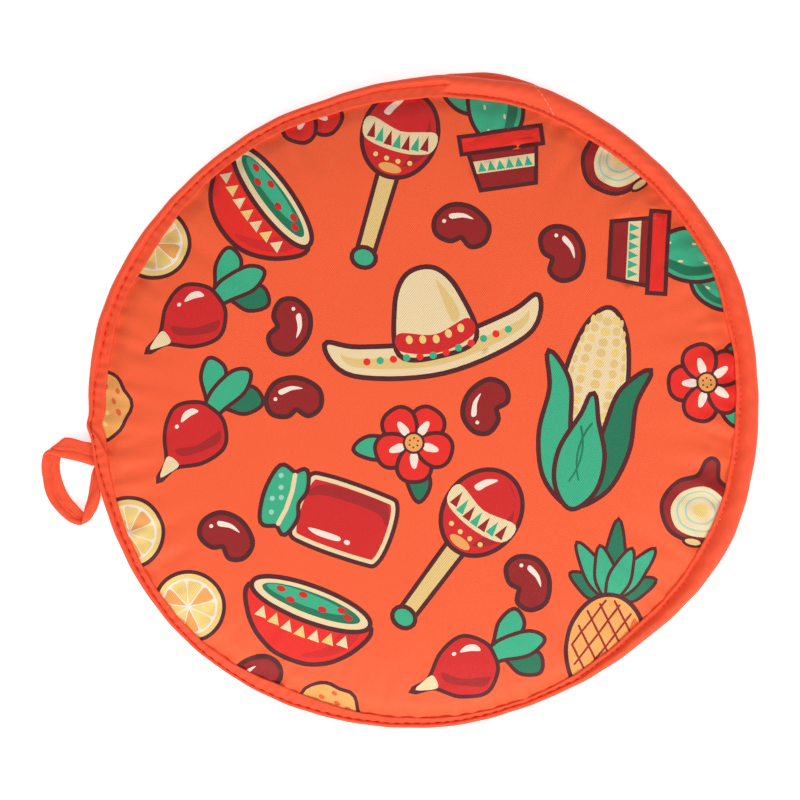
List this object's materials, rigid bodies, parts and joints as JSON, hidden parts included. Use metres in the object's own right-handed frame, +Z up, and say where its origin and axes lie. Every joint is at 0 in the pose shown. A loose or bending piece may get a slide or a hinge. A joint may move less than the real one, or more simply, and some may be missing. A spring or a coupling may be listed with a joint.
{
  "type": "tortilla warmer pouch",
  "caption": "Round padded cloth pouch that keeps flatbreads warm, with bound rims, an open mouth along one side, a lifting front lip and a hanging loop opposite the mouth.",
  "frame": {"origin": "middle of the flat underside, which is the back cover's face on the surface it lies on", "axes": "+Z up out of the front face, +X out through the middle of the mouth, the hanging loop on -X"},
  "size_m": [0.3326, 0.305, 0.017],
  "materials": {
    "printed_twill": "printed polyester twill, soft satin",
    "bias_tape": "plain woven bias tape, matte",
    "lining": "plain woven lining, matte",
    "batting": "needled fibre wadding, matte",
    "thread": "spun sewing thread"
  },
  "bodies": {
    "pouch": {"back_cover": "printed_twill", "back_batting": "batting", "back_lining": "lining", "back_binding": "bias_tape", "back_binding_seam": "thread", "front_cover": "printed_twill", "front_batting": "batting", "front_lining": "lining", "front_binding": "bias_tape", "front_binding_seam": "thread", "closing_seam": "thread", "loop_tabs": "bias_tape"},
    "front_lip": {"lip_cover": "printed_twill", "lip_batting": "batting", "lip_lining": "lining", "lip_binding": "bias_tape", "lip_binding_seam": "thread", "tape_join_seam": "thread"},
    "loop": {"hanging_loop": "bias_tape", "loop_edge_seam": "thread"}
  },
  "joints": [
    {"name": "lip_lift", "type": "hinge", "parent": "pouch", "child": "front_lip", "pos_m": [0.04331, 0, 0.01622], "axis": [0, -1, 0], "range_deg": [0, 70]},
    {"name": "loop_swing", "type": "hinge", "parent": "pouch", "child": "loop", "pos_m": [-0.1536, 0, 0.0035], "axis": [0, 1, 0], "range_deg": [-75, 75]}
  ]
}
